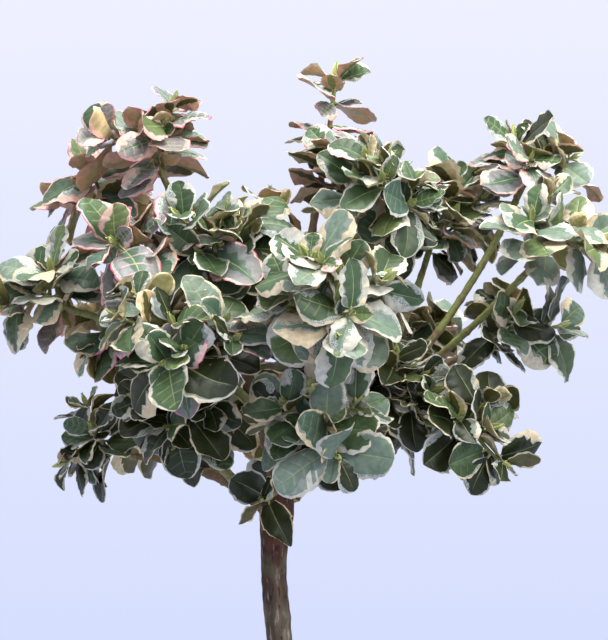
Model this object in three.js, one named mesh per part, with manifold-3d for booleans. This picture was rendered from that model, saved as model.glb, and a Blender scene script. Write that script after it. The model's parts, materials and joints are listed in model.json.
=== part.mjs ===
// A small-leaved variegated evergreen shrub grafted on a clear stem as a standard, in a plain clay pot.
// Millimetres, +Z up. The origin is the middle of the pot's underside, and the plant's front faces -Y.
import * as THREE from "three";
import { mergeVertices } from "three/addons/utils/BufferGeometryUtils.js";
import Module from "manifold-3d";

const wasm = await Module();
wasm.setup();

// Driving dimensions
const GAP = 0.35;
const POT = {
  height: 215,
  footRadius: 88,
  topRadius: 119,
  wall: 9,
  floor: 11,
  rimHeight: 36,
  rimStep: 6,
  edge: 2.5,
  sides: 30,
  drainRadius: 7,
  drainRing: 46,
  drains: 3,
};
const SOIL = { top: 190, crown: 3, sides: 24 };
const TRUNK = {
  length: 570,
  footRadius: 9.6,
  neckRadius: 7.9,
  flare: 6.5,
  flareHeight: 17,
  graftSwell: 2.7,
  graftBelow: 26,
  graftReach: 19,
  lean: -6,
  kink: -4,
  kinkBelow: 62,
  kinkReach: 40,
  sway: 2.6,
  sides: 12,
  steps: 17,
};
const FORK_BELOW = 20; // the crown's heights count from this far under the trunk's tip
const BOUGH = { rootRadius: 4.8, twigRadius: 2.1, slimming: 0.82, follow: 0.5, sides: 5, steps: 4 };
// How a mass grows: its count of side shoots, how far its stem runs past its middle as a share of its
// size, how much it turns up, where leaf pairs sit on the stem, and for its leaves their size, how wide
// they stand off and how far round their pairs are turned
const PLAIN = { lift: 0.35, nodes: [0.35, 0.7, 0.98], leaf: 1, stand: 1, turn: 0 };
const HABITS = {
  bushy: { ...PLAIN, sides: 4, pastMiddle: 0.3 },
  open: { ...PLAIN, sides: 3, pastMiddle: 0.14 },
  sparse: { ...PLAIN, sides: 3, pastMiddle: 0.3, lift: 0.1, nodes: [0.45, 0.72, 0.98], leaf: 0.8 },
  slender: { ...PLAIN, sides: 0, pastMiddle: 0.5, nodes: [0.2, 0.48, 0.75, 0.98], leaf: 0.95, stand: 1.2, turn: 52 },
  hanging: { ...PLAIN, sides: 0, pastMiddle: 0.1, lift: -0.9, nodes: [0.45, 0.98], stand: 0.5 },
};
const STEM_STEPS = 3;
const SIDE = { nodes: [0.5, 0.75, 0.97], steps: 2, tilt: 48, tiltMore: 26, length: 0.42, lengthMore: 0.22 };
const SHOOT = { tipRadius: 1.25, sides: 3, clearOfWalls: 2 };
const LEAF = {
  length: 39,
  shortest: 0.82,
  lengthMore: 0.36,
  youngest: 0.78,
  width: 0.76,
  thickness: 0.03,
  fold: 0.16,
  droop: 0.1,
  spread: 52,
  spreadByAge: 17,
  roll: 60,
  sunk: 0.1,
  bare: 0.1,
};
const SEED = 33;

// Each bough ends in one mass of leaves. Where the mass sits is its bearing from +X, its reach from the
// trunk's axis and its rise over the fork; size is how far it reaches from its own middle.
const BOUGHS = {
  leader: { from: "trunk", at: 0.985, bearing: 57, reach: 60, rise: 238, size: 62, habit: "slender" },
  right_mid: { from: "trunk", at: 0.972, bearing: 0, reach: 144, rise: 108, size: 57, habit: "open" },
  left_top: { from: "trunk", at: 0.98, bearing: 197, reach: 80, rise: 220, size: 57, habit: "open" },
  front_centre: { from: "trunk", at: 0.965, bearing: 283, reach: 147, rise: 123, size: 60, habit: "bushy" },
  back: { from: "trunk", at: 0.968, bearing: 89, reach: 142, rise: 119, size: 66, habit: "bushy" },
  left_low: { from: "trunk", at: 0.945, bearing: 174, reach: 109, rise: 35, size: 44, habit: "sparse" },
  left_outer: { from: "left_top", at: 0.25, bearing: 198, reach: 146, rise: 128, size: 50, habit: "open" },
  left_upper: { from: "left_top", at: 0.55, bearing: 166, reach: 119, rise: 190, size: 50, habit: "open" },
  left_mid: { from: "left_outer", at: 0.45, bearing: 222, reach: 108, rise: 150, size: 55, habit: "open" },
  front_left: { from: "front_centre", at: 0.22, bearing: 248, reach: 130, rise: 98, size: 59, habit: "bushy" },
  front_left_top: { from: "leader", at: 0.35, bearing: 243, reach: 70, rise: 154, size: 51, habit: "bushy" },
  front_top: { from: "leader", at: 0.5, bearing: 308, reach: 106, rise: 180, size: 56, habit: "bushy" },
  top_mid: { from: "leader", at: 0.55, bearing: 350, reach: 47, rise: 203, size: 49, habit: "open" },
  collar: { from: "trunk", at: 0.972, bearing: 257, reach: 34, rise: 6, size: 38, habit: "hanging" },
  heart: { from: "front_centre", at: 0.16, bearing: 300, reach: 34, rise: 104, size: 57, habit: "bushy" },
  front_low: { from: "front_centre", at: 0.32, bearing: 283, reach: 121, rise: 51, size: 55, habit: "open" },
  front_low_left: { from: "left_low", at: 0.25, bearing: 234, reach: 94, rise: 58, size: 53, habit: "bushy" },
  right_upper: { from: "right_mid", at: 0.62, bearing: 7, reach: 166, rise: 209, size: 55, habit: "open" },
  right_outer: { from: "right_mid", at: 0.7, bearing: 345, reach: 178, rise: 161, size: 56, habit: "open" },
  right_low: { from: "right_mid", at: 0.42, bearing: 337, reach: 131, rise: 46, size: 45, habit: "open" },
  right_inner: { from: "right_mid", at: 0.42, bearing: 20, reach: 112, rise: 172, size: 53, habit: "bushy" },
  right_heart: { from: "right_mid", at: 0.25, bearing: 345, reach: 70, rise: 66, size: 50, habit: "bushy" },
  back_left: { from: "back", at: 0.3, bearing: 134, reach: 142, rise: 113, size: 63, habit: "bushy" },
  back_right: { from: "back", at: 0.4, bearing: 56, reach: 150, rise: 92, size: 57, habit: "bushy" },
  back_top: { from: "leader", at: 0.42, bearing: 98, reach: 79, rise: 160, size: 57, habit: "open" },
  back_low: { from: "back", at: 0.5, bearing: 88, reach: 112, rise: 42, size: 57, habit: "bushy" },
  back_left_low: { from: "left_low", at: 0.42, bearing: 128, reach: 110, rise: 53, size: 55, habit: "bushy" },
  back_right_low: { from: "right_mid", at: 0.2, bearing: 44, reach: 106, rise: 57, size: 56, habit: "bushy" },
};

const UP = new THREE.Vector3(0, 0, 1);
// Shoots and leaves turn to the light, which falls from above and a little from the front
const LIGHT = new THREE.Vector3(0.1, -0.6, 1).normalize();
const radians = THREE.MathUtils.degToRad;
const bell = (x) => Math.exp(-x * x);
const mix = (a, b, t) => a + (b - a) * t;

const material = (hex, roughness) =>
  new THREE.MeshStandardMaterial({ color: hex, roughness, metalness: 0 });
const CLAY = material(0xb06a4a, 0.85);
const COMPOST = material(0x3a2c22, 1);
const BARK = material(0x6b4f3f, 0.9);
const GREEN_BARK = material(0x7d7f52, 0.8);
const FOLIAGE = material(0x4f6b52, 0.5);

// A stream of numbers from 0 to 1 that is the same on every run
function seeded(seed) {
  let state = Math.imul(seed, 2654435761) >>> 0;
  return () => {
    state = (Math.imul(state, 1664525) + 1013904223) >>> 0;
    return state / 4294967296;
  };
}

// A closed three.js geometry as a solid
function solidOf(geometry) {
  const bare = geometry.clone();
  bare.deleteAttribute("normal");
  bare.deleteAttribute("uv");
  const merged = mergeVertices(bare, 1e-4);
  return new wasm.Manifold(
    new wasm.Mesh({
      numProp: 3,
      vertProperties: merged.getAttribute("position").array,
      triVerts: new Uint32Array(merged.index.array),
    }),
  );
}

// The largest closed body of a solid, with sealed hollows filled and loose scraps dropped
function mainBody(solid) {
  return solid.decompose().reduce((best, body) => (body.volume() > best.volume() ? body : best));
}

function meshOf(solid, name, finish) {
  const { vertProperties, triVerts, numProp } = solid.getMesh();
  const places = new Float32Array((vertProperties.length / numProp) * 3);
  for (let i = 0; i < places.length / 3; i++) {
    places.set(vertProperties.subarray(i * numProp, i * numProp + 3), i * 3);
  }
  const geometry = new THREE.BufferGeometry();
  geometry.setAttribute("position", new THREE.BufferAttribute(places, 3));
  geometry.setIndex(new THREE.BufferAttribute(triVerts, 1));
  geometry.computeVertexNormals();
  const mesh = new THREE.Mesh(geometry, finish);
  mesh.name = name;
  return mesh;
}

// Two directions square to a third, which stay the same for the same direction
function across(direction) {
  const guide = Math.abs(direction.z) < 0.9 ? UP : new THREE.Vector3(1, 0, 0);
  const side = new THREE.Vector3().crossVectors(direction, guide).normalize();
  return [side, new THREE.Vector3().crossVectors(side, direction)];
}

function around(direction, angle) {
  const [side, over] = across(direction);
  return side.multiplyScalar(Math.cos(angle)).addScaledVector(over, Math.sin(angle));
}

// A tapering limb: a cylinder bent along a curve, with a radius for each share of its length
function limbSolid(curve, radiusAt, sides, steps, grow = 0) {
  const shape = new THREE.CylinderGeometry(1, 1, 1, sides, steps);
  const places = shape.getAttribute("position");
  const point = new THREE.Vector3();
  for (let i = 0; i < places.count; i++) {
    const share = places.getY(i) + 0.5;
    const tangent = curve.getTangent(share);
    const [side] = across(tangent);
    const over = new THREE.Vector3().crossVectors(side, tangent);
    curve.getPoint(share, point);
    point.addScaledVector(side, places.getX(i) * (radiusAt(share) + grow));
    point.addScaledVector(over, places.getZ(i) * (radiusAt(share) + grow));
    places.setXYZ(i, point.x, point.y, point.z);
  }
  return solidOf(shape);
}

// The pot: a turned shell with a rim band and drain holes
function potSolid() {
  const { height, footRadius, topRadius, wall, floor, rimHeight, rimStep, edge } = POT;
  const slope = (topRadius - footRadius) / height;
  const wallAt = (z) => footRadius + slope * z;
  const band = height - rimHeight;
  const outline = [
    [0, 0],
    [footRadius - edge, 0],
    [footRadius, edge],
    [wallAt(band), band],
    [wallAt(band) + rimStep, band + edge],
    [wallAt(height) + rimStep, height - edge],
    [wallAt(height) + rimStep - edge, height],
    [wallAt(height) - wall + edge, height],
    [wallAt(height) - wall, height - edge],
    [wallAt(floor) - wall, floor],
    [0, floor],
  ];
  const turned = new THREE.LatheGeometry(outline.map(([r, z]) => new THREE.Vector2(r, z)), POT.sides);
  turned.rotateX(Math.PI / 2);
  let pot = solidOf(turned);
  for (let i = 0; i < POT.drains; i++) {
    const angle = (2 * Math.PI * i) / POT.drains + Math.PI / 2;
    const hole = new THREE.CylinderGeometry(POT.drainRadius, POT.drainRadius, floor * 3, 8);
    hole.rotateX(Math.PI / 2);
    hole.translate(Math.cos(angle) * POT.drainRing, Math.sin(angle) * POT.drainRing, 0);
    pot = pot.subtract(solidOf(hole));
  }
  return pot;
}

// The compost fills the pot, and lies level under the trunk's foot
function soilSolid() {
  const slope = (POT.topRadius - POT.footRadius) / POT.height;
  const wallAt = (z) => POT.footRadius + slope * z - POT.wall - GAP - 0.25;
  const level = TRUNK.footRadius + TRUNK.flare + 8;
  const outline = [
    [0, POT.floor + GAP],
    [wallAt(POT.floor), POT.floor + GAP],
    [wallAt(SOIL.top - SOIL.crown), SOIL.top - SOIL.crown],
    [mix(level, wallAt(SOIL.top), 0.6), SOIL.top - SOIL.crown * 0.4],
    [level, SOIL.top],
    [0, SOIL.top],
  ];
  const turned = new THREE.LatheGeometry(outline.map(([r, z]) => new THREE.Vector2(r, z)), SOIL.sides);
  turned.rotateX(Math.PI / 2);
  return solidOf(turned);
}

// The trunk's axis leans a little, sways once and has a kink under the graft
class TrunkAxis extends THREE.Curve {
  getPoint(share, target = new THREE.Vector3()) {
    const below = TRUNK.length * (1 - share);
    const kink = TRUNK.kink * bell((below - TRUNK.kinkBelow) / TRUNK.kinkReach);
    const x = TRUNK.lean * share + kink;
    const y = TRUNK.sway * Math.sin(Math.PI * share);
    return target.set(x, y, SOIL.top + GAP + TRUNK.length * share);
  }
  getTangent(share, target = new THREE.Vector3()) {
    const step = 0.004;
    const ahead = this.getPoint(share + step);
    return target.copy(ahead).sub(this.getPoint(share - step)).normalize();
  }
}

function trunkRadius(share) {
  const up = TRUNK.length * share;
  const below = TRUNK.length - up;
  const flare = TRUNK.flare * Math.exp(-up / TRUNK.flareHeight);
  const swell = TRUNK.graftSwell * bell((below - TRUNK.graftBelow) / TRUNK.graftReach);
  const tip = Math.min(1, 0.45 + below / 14);
  return (mix(TRUNK.footRadius, TRUNK.neckRadius, share) + flare + swell) * tip;
}

// Limbs: the trunk first, and each bough starts on its parent's axis at the given share
function planLimbs() {
  const axis = new TrunkAxis();
  const limbs = new Map();
  limbs.set("trunk", { curve: axis, radiusAt: trunkRadius, sides: TRUNK.sides, steps: TRUNK.steps });
  const fork = axis.getPoint(1 - FORK_BELOW / TRUNK.length);
  for (const [name, bough] of Object.entries(BOUGHS)) {
    const parent = limbs.get(bough.from);
    const bearing = radians(bough.bearing);
    const middle = new THREE.Vector3(Math.cos(bearing), Math.sin(bearing), 0)
      .multiplyScalar(bough.reach)
      .addScaledVector(UP, bough.rise)
      .add(fork);
    const root = parent.curve.getPoint(bough.at);
    const lead = parent.curve.getTangent(bough.at);
    const heading = middle.clone().sub(root).normalize();
    const tip = middle.clone().addScaledVector(heading, -0.5 * bough.size);
    const length = tip.distanceTo(root);
    const bend = heading.clone().addScaledVector(lead, BOUGH.follow).normalize();
    const knee = root.clone().addScaledVector(bend, length * 0.5);
    const curve = new THREE.QuadraticBezierCurve3(root, knee, tip);
    const thick = bough.from === "trunk" ? BOUGH.rootRadius : parent.radiusAt(bough.at) * BOUGH.slimming;
    const radiusAt = (share) => mix(thick, BOUGH.twigRadius, share);
    limbs.set(name, { ...bough, name, curve, radiusAt, middle, sides: BOUGH.sides, steps: BOUGH.steps });
  }
  return limbs;
}

// Each limb is cut clear of the limbs made before it, so that its root sits on its parent
function limbSolids(limbs) {
  const solids = new Map();
  let taken = null;
  for (const [name, limb] of limbs) {
    let solid = limbSolid(limb.curve, limb.radiusAt, limb.sides, limb.steps);
    if (taken) solid = mainBody(solid.subtract(taken));
    solids.set(name, solid);
    const grown = limbSolid(limb.curve, limb.radiusAt, limb.sides, limb.steps, GAP);
    taken = taken ? taken.add(grown) : grown;
  }
  return { solids, taken };
}

// A point is in a mass's space if it is within reach of the mass's middle and on its side of the plane
// between that middle and each other mass's
function inSpace(mass, masses, point, margin = 0) {
  const own = point.distanceToSquared(mass.middle) - mass.size ** 2;
  if (own > 0) return false;
  return masses.every((other) => {
    if (other === mass) return true;
    const plane = point.distanceToSquared(other.middle) - other.size ** 2 - own;
    return plane > 2 * mass.middle.distanceTo(other.middle) * (GAP + margin);
  });
}

// A leaf's outline from its base round the blunt tip and back, as shares of its length and width
const OUTLINE = [
  [0, 0],
  [0.45, 0.5],
  [0.94, 0.24],
  [0.94, -0.24],
  [0.45, -0.5],
];
const LEAF_TOP = [4, 1, 0, 3, 1, 4, 3, 2, 1];

function leafCorners(leaf) {
  const sideways = new THREE.Vector3().crossVectors(leaf.face, leaf.along);
  const at = (share, half, rise) =>
    leaf.root
      .clone()
      .addScaledVector(leaf.along, leaf.length * share)
      .addScaledVector(sideways, leaf.length * LEAF.width * half)
      .addScaledVector(leaf.face, leaf.length * rise);
  const corners = OUTLINE.map(([share, half]) =>
    at(share, half, LEAF.fold * Math.abs(half) - LEAF.droop * share * share),
  );
  corners.push(at(0.45, 0, -LEAF.droop * 0.25 - LEAF.thickness));
  return corners;
}

function leafSolid(leaf) {
  const corners = leafCorners(leaf);
  const under = OUTLINE.length;
  const faces = [...LEAF_TOP];
  for (let i = 0; i < OUTLINE.length; i++) faces.push(under, i, (i + 1) % OUTLINE.length);
  const geometry = new THREE.BufferGeometry().setFromPoints(corners);
  geometry.setIndex(faces);
  return solidOf(geometry);
}

// One shoot's leaves: opposite pairs, each pair a quarter turn from the last, younger towards the tip
function leavesOn(shoot, random) {
  const leaves = [];
  const turn = random() * Math.PI + radians(shoot.turn);
  shoot.nodes.forEach((share, index) => {
    const age = shoot.nodes.length - 1 - index;
    for (const half of [0, 1]) {
      const angle = turn + index * (Math.PI / 2) + half * Math.PI + (random() - 0.5) * 0.5;
      const spread = radians((LEAF.spread + LEAF.spreadByAge * age) * shoot.stand + (random() - 0.5) * 16);
      const grown = shoot.leaf * LEAF.length * (LEAF.shortest + LEAF.lengthMore * random());
      const length = grown * (age === 0 ? LEAF.youngest : 1);
      const tangent = shoot.curve.getTangent(share);
      const along = tangent.clone().multiplyScalar(Math.cos(spread));
      along.addScaledVector(around(tangent, angle), Math.sin(spread)).normalize();
      const face = tangent.clone().addScaledVector(LIGHT, 1).addScaledVector(shoot.outward, 0.5);
      face.addScaledVector(along, -face.dot(along)).normalize();
      const roll = radians(LEAF.roll * (random() - 0.5));
      const sideways = new THREE.Vector3().crossVectors(face, along);
      face.multiplyScalar(Math.cos(roll)).addScaledVector(sideways, Math.sin(roll));
      const root = shoot.curve.getPoint(share).addScaledVector(along, LEAF.sunk);
      leaves.push({ root, along, face, length });
    }
  });
  return leaves;
}

// The mass's stem runs on from its bough's tip, and side shoots leave it all round
function planShoots(mass, fork, random) {
  const { sides, pastMiddle, lift, nodes, ...habit } = HABITS[mass.habit];
  const heading = mass.curve.getTangent(1);
  const outward = mass.middle.clone().sub(fork).normalize();
  const start = mass.curve.getPoint(1).addScaledVector(heading, GAP);
  const rise = heading.clone().addScaledVector(outward, 0.4).addScaledVector(UP, lift).normalize();
  const end = mass.middle.clone().addScaledVector(rise, pastMiddle * mass.size);
  const knee = start.clone().addScaledVector(heading, 0.5 * end.distanceTo(start));
  const stem = {
    curve: new THREE.QuadraticBezierCurve3(start, knee, end),
    radiusAt: (share) => mix(BOUGH.twigRadius, SHOOT.tipRadius, share),
    nodes,
    steps: STEM_STEPS,
    outward,
    ...habit,
  };
  const shoots = [stem];
  for (let k = 0; k < sides; k++) {
    const share = 0.1 + (0.78 * (k + 0.3 + 0.4 * random())) / sides;
    const root = stem.curve.getPoint(share);
    const tangent = stem.curve.getTangent(share);
    const tilt = radians(SIDE.tilt + SIDE.tiltMore * random());
    const angle = radians(30 + 120 * k) + 0.3 * (random() - 0.5);
    const first = tangent.clone().multiplyScalar(Math.cos(tilt));
    first.addScaledVector(around(tangent, angle), Math.sin(tilt));
    const later = first.clone().addScaledVector(LIGHT, 0.3).addScaledVector(outward, 0.35).normalize();
    const length = mass.size * (SIDE.length + SIDE.lengthMore * random());
    const bend = root.clone().addScaledVector(first, 0.5 * length);
    const tip = bend.clone().addScaledVector(later, 0.5 * length);
    shoots.push({
      curve: new THREE.QuadraticBezierCurve3(root, bend, tip),
      radiusAt: () => SHOOT.tipRadius,
      nodes: SIDE.nodes,
      steps: SIDE.steps,
      outward,
      ...habit,
    });
  }
  return shoots;
}

// A mass of leaves: every shoot and leaf that stays in the mass's space, clear of all limbs
function massSolid(mass, masses, fork, taken, index) {
  const random = seeded(SEED + index);
  const pieces = [];
  let placed = null;
  planShoots(mass, fork, random).forEach((shoot, order) => {
    const leaves = leavesOn(shoot, random);
    const wood = limbSolid(shoot.curve, shoot.radiusAt, SHOOT.sides, shoot.steps);
    const inside = [0.35, 0.7, 1].every((share) =>
      inSpace(mass, masses, shoot.curve.getPoint(share), SHOOT.clearOfWalls),
    );
    if (order > 0 && !(inside && wood.intersect(taken).isEmpty())) return;
    pieces.push(wood);
    for (const leaf of leaves) {
      if (!leafCorners(leaf).every((corner) => inSpace(mass, masses, corner))) continue;
      const blade = leafSolid(leaf);
      const outer = leafSolid({
        ...leaf,
        root: leaf.root.clone().addScaledVector(leaf.along, leaf.length * LEAF.bare),
        length: leaf.length * (1 - LEAF.bare),
      });
      if (placed && !outer.intersect(placed).isEmpty()) continue;
      if (!blade.intersect(taken).isEmpty()) continue;
      pieces.push(blade);
      placed = placed ? placed.add(outer) : outer;
    }
  });
  return mainBody(wasm.Manifold.union(pieces));
}

const topiary = new THREE.Group();
topiary.add(meshOf(potSolid(), "pot", CLAY));
topiary.add(meshOf(soilSolid(), "compost", COMPOST));

const limbs = planLimbs();
const { solids, taken } = limbSolids(limbs);
const fork = limbs.get("trunk").curve.getPoint(1 - FORK_BELOW / TRUNK.length);
const masses = [...limbs.values()].filter((limb) => limb.middle);
for (const [name, solid] of solids) {
  const isTrunk = name === "trunk";
  topiary.add(meshOf(solid, isTrunk ? name : `bough_${name}`, isTrunk ? BARK : GREEN_BARK));
}
masses.forEach((mass, index) => {
  const solid = massSolid(mass, masses, fork, taken, index);
  topiary.add(meshOf(solid, `foliage_${mass.name}`, FOLIAGE));
});

export default topiary;
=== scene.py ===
# A small-leaved variegated evergreen shrub grafted as a standard, in a plain clay pot, in a pale studio.
# Metres, +Z up. The boughs, twigs and leaves grow by the part's own rule, carried to finer twigs.
import json
from collections import namedtuple
from math import cos, exp, pi, radians, sin, sqrt
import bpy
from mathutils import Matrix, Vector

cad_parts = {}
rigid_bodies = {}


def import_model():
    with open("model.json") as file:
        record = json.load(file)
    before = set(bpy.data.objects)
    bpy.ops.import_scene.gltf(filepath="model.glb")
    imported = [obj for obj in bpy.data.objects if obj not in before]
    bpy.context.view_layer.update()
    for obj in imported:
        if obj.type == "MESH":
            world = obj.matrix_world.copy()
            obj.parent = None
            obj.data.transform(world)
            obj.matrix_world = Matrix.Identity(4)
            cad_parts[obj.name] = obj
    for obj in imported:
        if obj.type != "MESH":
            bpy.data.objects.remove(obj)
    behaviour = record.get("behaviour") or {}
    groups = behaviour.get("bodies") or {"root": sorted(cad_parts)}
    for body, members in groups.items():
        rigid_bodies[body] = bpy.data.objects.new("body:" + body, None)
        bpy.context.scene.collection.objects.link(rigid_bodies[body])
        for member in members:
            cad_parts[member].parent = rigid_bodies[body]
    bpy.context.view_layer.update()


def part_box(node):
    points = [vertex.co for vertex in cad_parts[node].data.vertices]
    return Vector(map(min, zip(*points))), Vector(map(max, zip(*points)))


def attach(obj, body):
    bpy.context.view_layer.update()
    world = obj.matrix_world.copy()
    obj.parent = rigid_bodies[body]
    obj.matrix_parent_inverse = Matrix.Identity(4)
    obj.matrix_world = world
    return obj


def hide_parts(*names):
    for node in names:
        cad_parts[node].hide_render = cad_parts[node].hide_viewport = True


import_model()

from types import SimpleNamespace as Namespace

import bpy
import numpy as np
from mathutils import Vector
from mathutils import noise
from mathutils.bvhtree import BVHTree

# Driving dimensions
GAP = 0.00035
POT = Namespace(
    height=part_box("pot")[1].z, foot=0.088, top=0.119, wall=0.009, floor=0.011, rim_height=0.036,
    rim_step=0.006, edge=0.0025, drain_radius=0.007, drain_ring=0.046, drains=3, drill=0.04,
)
SOIL_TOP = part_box("compost")[1].z
TRUNK = Namespace(
    length=0.570, foot=0.0096, neck=0.0079, flare=0.0065, flare_height=0.017, graft_swell=0.0027,
    graft_below=0.026, graft_reach=0.019, lean=-0.006, kink=-0.004, kink_below=0.062, kink_reach=0.040,
    sway=0.0026, head=0.45, head_reach=0.014,
)
FORK_BELOW = 0.020
BOUGH = Namespace(root=0.0048, twig=0.0021, slimming=0.82, follow=0.5)
STEM_OUTWARD = 0.4
SIDE = Namespace(
    nodes=(0.5, 0.75, 0.97), low=0.1, span=0.78, shift=0.3, jitter=0.4, tilt=48, tilt_more=26,
    first_turn=30, apart=120, swing=0.3, length=0.42, length_more=0.22, thick=1.1, thin=0.8,
    to_light=0.3, outward=0.35,
)
SHOOT_TIP = 0.00125
LEAF = Namespace(
    length=0.039, shortest=0.82, length_more=0.36, youngest=0.78, spread=52, spread_by_age=17,
    spread_jitter=16, swing=0.5, outward=0.5, roll=60, life_size=0.88,
)
SEED = 33

# How a mass grows, as in the part: its side shoots, how far its stem runs past its middle, how much it
# turns up, where leaf pairs sit on the stem, and for its leaves their size, how wide they stand off and
# how many degrees round their pairs are turned. Then what is finer here: more side shoots, whether each
# of the part's own has a twiglet, and more leaf pairs on the stem, each with its place, age and size
Habit = namedtuple(
    "Habit", "sides past_middle lift nodes leaf stand turn more_sides twiglets more_nodes",
    defaults=(0, False, ()),
)
HABITS = {
    "bushy": Habit(
        4, 0.3, 0.35, (0.35, 0.7, 0.98), 1, 1, 0,
        3, True, ((0.16, 2, 1), (0.52, 2, 1), (0.84, 1, 0.9), (0.94, 0, 0.8)),
    ),
    "open": Habit(
        3, 0.14, 0.35, (0.35, 0.7, 0.98), 1, 1, 0,
        1, False, ((0.52, 2, 1), (0.86, 1, 0.9), (0.97, 0, 0.62)),
    ),
    "sparse": Habit(3, 0.3, 0.1, (0.45, 0.72, 0.98), 0.8, 1, 0, 1, False, ((0.6, 1, 0.9),)),
    "slender": Habit(
        0, 0.5, 0.35, (0.2, 0.48, 0.75, 0.98), 0.95, 1.2, 52,
        0, False, ((0.95, 0, 0.95), (0.73, 1, 1), (0.46, 1, 1), (0.87, 0, 0.7)),
    ),
    "hanging": Habit(0, 0.1, -0.9, (0.45, 0.98), 1, 0.5, 0),
}

# Each bough ends in one mass of leaves, as in the part: bearing from +X in degrees, reach from the
# trunk's axis, height over the fork, and how far the mass reaches from its own middle. Then come the
# piece that its leaves join and their look: how often a half-blade has a wide cream sector, how often a
# rim is pink, how often the green is young and bright, old and dark, or pale, and how broad leaves are.
# The high chances of old dark green on the low and inner masses stand partly for older leaves and partly
# for painted shade
Bough = namedtuple(
    "Bough", "name parent at bearing reach height size habit group cream pink young old pale broad",
    # The default chance of old, 0.9, goes to the inner and low masses and is partly painted shade
    defaults=(0.12, 0, 0.02, 0.9, 0, 1),
)
BOUGHS = (
    ("leader", "trunk", 0.985, 57, 0.06, 0.238, 0.062, "slender", "top", 0.4, 0.4, 0.3, 0.1, 0.1),
    ("right_mid", "trunk", 0.972, 0, 0.144, 0.108, 0.057, "open", "right", 0.4, 0.02, 0.1, 0.4, 0.15),
    ("left_top", "trunk", 0.98, 197, 0.08, 0.22, 0.057, "open", "left", 0.6, 0.95, 0.15, 0, 0.8),
    ("front_centre", "trunk", 0.965, 283, 0.147, 0.123, 0.06, "bushy", "front", 1.1, 0.03, 0.2, 0, 0.7),
    ("back", "trunk", 0.968, 89, 0.142, 0.119, 0.066, "bushy", "back", 0.5, 0.1, 0.2, 0.1, 0.2),
    ("left_low", "trunk", 0.945, 174, 0.109, 0.035, 0.044, "sparse", "left", 0.2, 0.01, 0.04, 0.7, 0.1),
    ("left_outer", "left_top", 0.25, 198, 0.146, 0.128, 0.05, "open", "left", 1.0, 0.2, 0.15, 0.05, 0.5),
    ("left_upper", "left_top", 0.55, 166, 0.119, 0.19, 0.05, "open", "left", 0.6, 0.9, 0.2, 0, 0.5),
    ("left_mid", "left_outer", 0.45, 222, 0.108, 0.15, 0.055, "open", "left", 0.25, 0.9, 0.1, 0.1, 0.25),
    ("front_left", "front_centre", 0.22, 248, 0.13, 0.098, 0.059, "bushy",
     "front_left", 0.55, 0.15, 0.1, 0.25, 0.1),
    ("front_left_top", "leader", 0.35, 243, 0.07, 0.154, 0.051, "bushy",
     "front_left", 0.25, 0.05, 0.15, 0.15, 0.1),
    ("front_top", "leader", 0.5, 308, 0.106, 0.18, 0.056, "bushy", "top", 0.18, 0.1, 0.55, 0, 0.05),
    ("top_mid", "leader", 0.55, 350, 0.047, 0.203, 0.049, "open", "top", 0.4, 0.5, 0.4, 0, 0.1),
    ("collar", "trunk", 0.972, 257, 0.034, 0.006, 0.038, "hanging", "front_left", 0.05, 0, 0, 1, 0, 0.7),
    ("heart", "front_centre", 0.16, 300, 0.034, 0.104, 0.057, "bushy", "front"),
    ("front_low", "front_centre", 0.32, 283, 0.121, 0.051, 0.055, "open", "front", 0.25, 0, 0.08, 0.1, 0.3),
    ("front_low_left", "left_low", 0.25, 234, 0.094, 0.058, 0.053, "bushy",
     "front_left", 0.05, 0, 0.02, 0.9, 0),
    ("right_upper", "right_mid", 0.62, 7, 0.166, 0.209, 0.055, "open", "right", 0.5, 0.5, 0.2, 0.1, 0.4),
    ("right_outer", "right_mid", 0.7, 345, 0.178, 0.161, 0.056, "open", "right", 1.0, 0.03, 0.25, 0, 1),
    ("right_low", "right_mid", 0.42, 337, 0.131, 0.046, 0.045, "open", "right", 0.2, 0, 0.03, 0.7, 0.05),
    ("right_inner", "right_mid", 0.42, 20, 0.112, 0.172, 0.053, "bushy", "right", 0.5, 0.1, 0.2, 0.1, 0.2),
    ("right_heart", "right_mid", 0.25, 345, 0.07, 0.066, 0.05, "bushy", "front"),
    ("back_left", "back", 0.3, 134, 0.142, 0.113, 0.063, "bushy", "back", 0.45, 0.15, 0.15, 0.2, 0.2),
    ("back_right", "back", 0.4, 56, 0.15, 0.092, 0.057, "bushy", "back", 0.45, 0.05, 0.15, 0.2, 0.2),
    ("back_top", "leader", 0.42, 98, 0.079, 0.16, 0.057, "open", "top", 0.4, 0.4, 0.2, 0.1, 0.2),
    ("back_low", "back", 0.5, 88, 0.112, 0.042, 0.057, "bushy", "back_low"),
    ("back_left_low", "left_low", 0.42, 128, 0.11, 0.053, 0.055, "bushy", "back_low"),
    ("back_right_low", "right_mid", 0.2, 44, 0.106, 0.057, 0.056, "bushy", "back_low"),
)
BOUGHS = [Bough(*row) for row in BOUGHS]
GROUPS = ("left", "front_left", "front", "right", "top", "back", "back_low")

UP = np.array((0.0, 0.0, 1.0))
# Shoots and leaves turn to the light, as in the part
LIGHT = np.array((0.1, -0.6, 1.0)) / sqrt(1.37)


def seeded(seed):
    """The part's own stream of numbers from 0 to 1, the same on every run."""
    state = (seed * 2654435761) & 0xFFFFFFFF
    while True:
        state = (state * 1664525 + 1013904223) & 0xFFFFFFFF
        yield state / 4294967296


def unit(vector):
    return vector / np.linalg.norm(vector)


def mix(a, b, share):
    return a + (b - a) * share


def bell(x):
    return exp(-x * x)


def taper(start, end):
    """A radius that goes evenly from a limb's start to its end."""
    return lambda share: mix(start, end, share)


def square_to(along, direction):
    """What is left of a direction square to another one."""
    return unit(direction - along * np.dot(direction, along))


def across(direction):
    """Two directions square to a third, as in the part."""
    guide = UP if abs(direction[2]) < 0.9 else np.array((1.0, 0.0, 0.0))
    side = unit(np.cross(direction, guide))
    return side, np.cross(side, direction)


def around(direction, angle):
    side, over = across(direction)
    return side * cos(angle) + over * sin(angle)


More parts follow.
